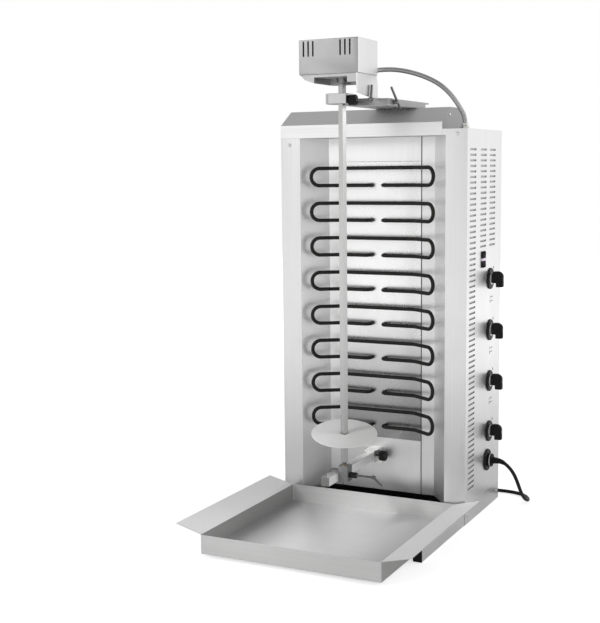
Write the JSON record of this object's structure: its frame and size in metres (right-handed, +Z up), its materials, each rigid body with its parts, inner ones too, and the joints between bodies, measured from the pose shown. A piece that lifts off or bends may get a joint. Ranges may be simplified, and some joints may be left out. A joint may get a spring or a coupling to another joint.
{
  "type": "vertical kebab grill",
  "caption": "Free-standing electric vertical spit grill: heated upright chamber, motor-driven square spit with a disc, side control panel and pull-out drip tray.",
  "frame": {"origin": "on the table, under the middle of the casing's front plane, on the underside of the front crossbar", "axes": "+X to the right seen from the front, where the controls are, +Y to the back, +Z up"},
  "size_m": [0.5842, 0.8373, 1.08],
  "materials": {
    "casing_steel": "fine brushed stainless sheet",
    "reflector_steel": "polished stainless sheet",
    "chamber_steel": "satin stainless sheet",
    "element_black": "matt black heat-darkened sheath",
    "bright_steel": "bright turned and drawn steel",
    "dark_steel": "dark steel",
    "zinc_steel": "zinc-plated steel",
    "black_plastic": "satin black moulded plastic",
    "black_rubber": "matt black rubber",
    "bronze": "sintered bronze",
    "gear_grey": "grey paint",
    "light_plastic": "light moulded terminal block"
  },
  "bodies": {
    "base": {"left_casing": "casing_steel", "control_cover": "casing_steel", "inner_partition": "casing_steel", "back_panel": "casing_steel", "floor_plate": "casing_steel", "hood": "casing_steel", "base_rails": "casing_steel", "base_channels": "casing_steel", "base_crossbars": "casing_steel", "tray_runners": "casing_steel", "chamber_lining": "chamber_steel", "chamber_panels": "chamber_steel", "reflector_plate": "reflector_steel", "heating_element_1": "element_black", "heating_element_2": "element_black", "heating_element_3": "element_black", "heating_element_4": "element_black", "heating_element_5": "element_black", "heating_element_6": "element_black", "heating_element_7": "element_black", "heating_element_8": "element_black", "conduit": "bright_steel", "slide_bar": "bright_steel", "lower_arm": "bright_steel", "arm_mount": "bright_steel", "element_nuts": "zinc_steel", "casing_screws": "zinc_steel", "conduit_fitting_box": "zinc_steel", "rail_caps": "black_plastic", "rocker_frame": "black_plastic", "switch_bodies": "black_plastic", "cable_gland": "black_plastic", "power_plug": "black_plastic", "strain_relief": "black_rubber", "power_cord": "black_rubber", "cord_coil": "black_rubber", "terminal_block": "light_plastic"},
    "carriage": {"carriage": "bright_steel", "motor_bracket": "casing_steel", "motor_cover": "casing_steel", "motor_base": "dark_steel", "gear_motor": "gear_grey", "skewer_holder": "bright_steel", "conduit_fitting_motor": "zinc_steel"},
    "output": {"output_socket": "dark_steel"},
    "spit": {"skewer": "bright_steel"},
    "collar": {"disc_collar": "bright_steel"},
    "disc": {"meat_disc": "bright_steel"},
    "holder_clamp": {"holder_clamp": "dark_steel"},
    "carriage_lever": {"carriage_lever": "dark_steel"},
    "block": {"bearing_block": "dark_steel", "bearing_bush": "bronze"},
    "block_clamp": {"block_clamp": "dark_steel"},
    "arm_knob": {"arm_knob": "black_plastic"},
    "tray": {"drip_tray": "casing_steel"},
    "knob_1": {"knob_1": "black_plastic"},
    "knob_2": {"knob_2": "black_plastic"},
    "knob_3": {"knob_3": "black_plastic"},
    "knob_4": {"knob_4": "black_plastic"},
    "rocker": {"rocker_button": "black_plastic"}
  },
  "joints": [
    {"name": "carriage_slide", "type": "slide", "parent": "base", "child": "carriage", "axis": [0, 1, 0], "range_m": [-0.03, 0.02], "deforming": ["conduit"]},
    {"name": "block_slide", "type": "slide", "parent": "base", "child": "block", "axis": [0, 1, 0], "range_m": [-0.03, 0.02]},
    {"name": "output_spin", "type": "hinge", "parent": "carriage", "child": "output", "pos_m": [0, -0.154, 1], "axis": [0, 0, 1], "continuous": true},
    {"name": "spit_lift", "type": "slide", "parent": "output", "child": "spit", "axis": [0, 0, 1], "range_m": [0, 0.012]},
    {"name": "collar_slide", "type": "slide", "parent": "spit", "child": "collar", "axis": [0, 0, 1], "range_m": [-0.02, 0.65]},
    {"name": "disc_rock", "type": "hinge", "parent": "collar", "child": "disc", "pos_m": [0.00513, -0.16429, 0.22219], "axis": [-0.8949, -0.4462, 0], "range_deg": [0, 12.6]},
    {"name": "holder_clamp_turn", "type": "hinge", "parent": "carriage", "child": "holder_clamp", "pos_m": [0.04, -0.154, 0.9555], "axis": [1, 0, 0], "range_deg": [-180, 180]},
    {"name": "carriage_lever_turn", "type": "hinge", "parent": "carriage", "child": "carriage_lever", "pos_m": [0.095, -0.086, 0.95215], "axis": [1, 0, 0], "range_deg": [-180, 180]},
    {"name": "block_clamp_turn", "type": "hinge", "parent": "block", "child": "block_clamp", "pos_m": [0.04, -0.154, 0.133], "axis": [1, 0, 0], "range_deg": [-150, 90]},
    {"name": "arm_knob_turn", "type": "hinge", "parent": "base", "child": "arm_knob", "pos_m": [0, 0.0417, 0.131], "axis": [1, 0, 0], "range_deg": [-180, 180]},
    {"name": "tray_slide", "type": "slide", "parent": "base", "child": "tray", "axis": [0, -1, 0], "range_m": [0, 0.2]},
    {"name": "rocker_tip", "type": "hinge", "parent": "base", "child": "rocker", "pos_m": [0.224, 0.117, 0.599], "axis": [0, 1, 0], "range_deg": [-9, 9]},
    {"name": "knob_1_turn", "type": "hinge", "parent": "base", "child": "knob_1", "pos_m": [0.2305, 0.173, 0.5501], "axis": [-1, 0, 0], "range_deg": [0, 270]},
    {"name": "knob_2_turn", "type": "hinge", "parent": "base", "child": "knob_2", "pos_m": [0.2305, 0.173, 0.4283], "axis": [-1, 0, 0], "range_deg": [0, 270]},
    {"name": "knob_3_turn", "type": "hinge", "parent": "base", "child": "knob_3", "pos_m": [0.2305, 0.173, 0.3065], "axis": [-1, 0, 0], "range_deg": [0, 270]},
    {"name": "knob_4_turn", "type": "hinge", "parent": "base", "child": "knob_4", "pos_m": [0.2305, 0.173, 0.1847], "axis": [-1, 0, 0], "range_deg": [0, 270]}
  ],
  "couplings": [
    {"joint": "block_slide", "follows": "carriage_slide", "ratio": 1}
  ]
}
